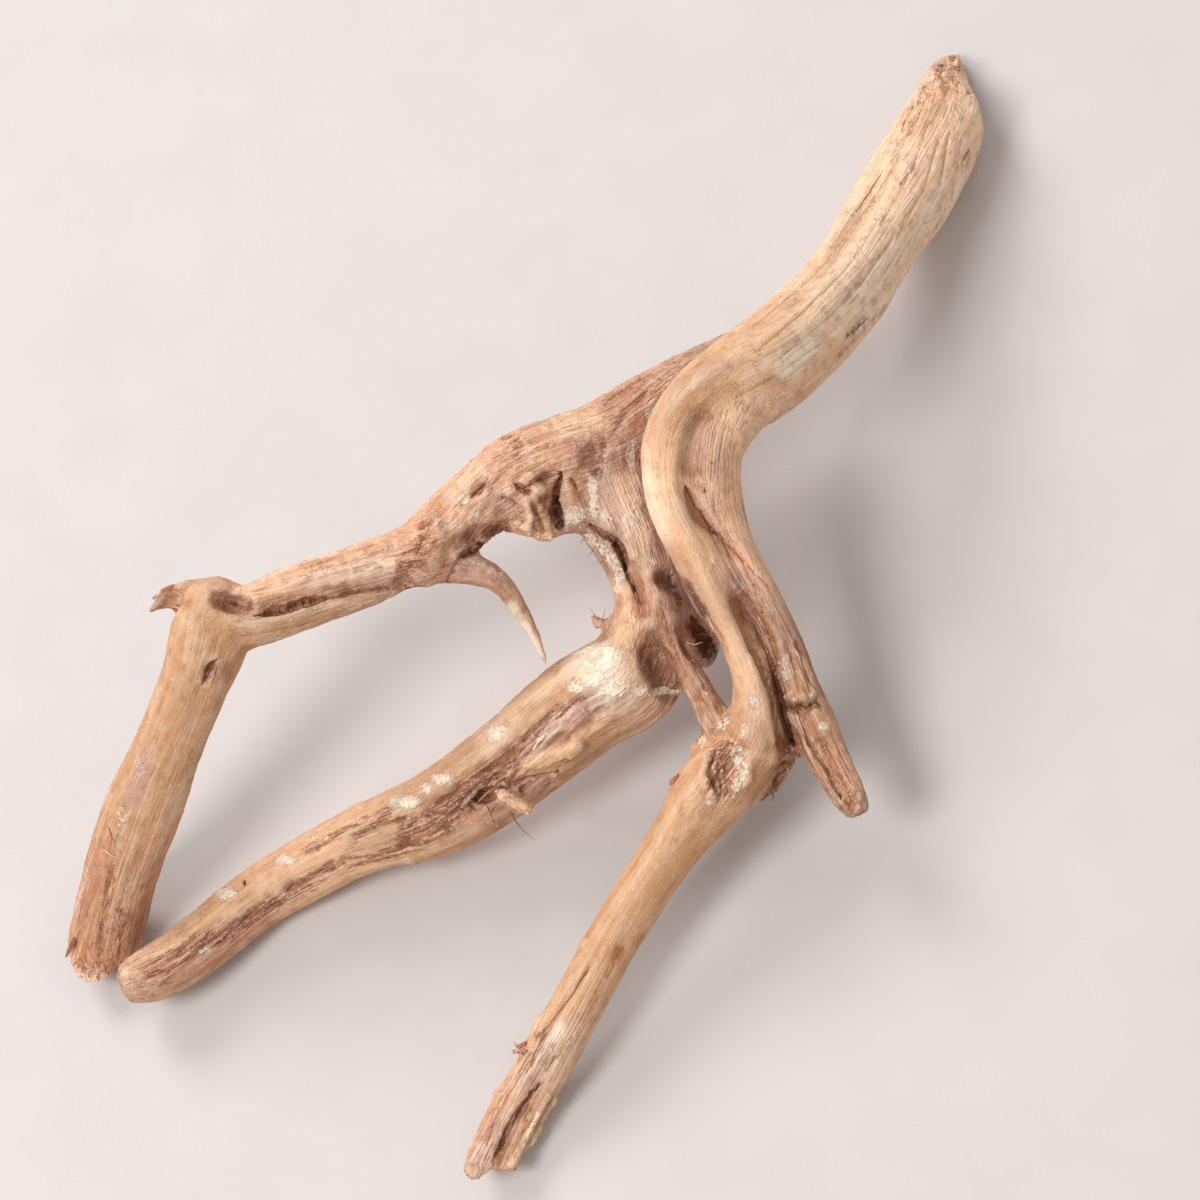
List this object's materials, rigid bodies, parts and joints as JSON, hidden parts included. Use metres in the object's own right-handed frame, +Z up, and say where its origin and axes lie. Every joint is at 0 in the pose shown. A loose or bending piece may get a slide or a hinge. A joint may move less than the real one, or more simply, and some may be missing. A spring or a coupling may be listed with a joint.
{
  "type": "aquarium driftwood branch",
  "caption": "Weathered driftwood branch with twisted limbs, an open arch, a hanging root and cut legs, lying on its leg ends and its broken tip.",
  "frame": {"origin": "centre of the footprint, on the surface that the branch rests on", "axes": "+Z up; +Y along the branch's length, towards the broken tip of the trunk; +X towards the trunk's side"},
  "size_m": [0.138, 0.177, 0.0443],
  "materials": {
    "weathered_wood": "bare weathered driftwood: matt, fibrous, warm tan with brown crevices and pale crust"
  },
  "bodies": {
    "root": {"driftwood_branch": "weathered_wood"}
  },
  "joints": []
}
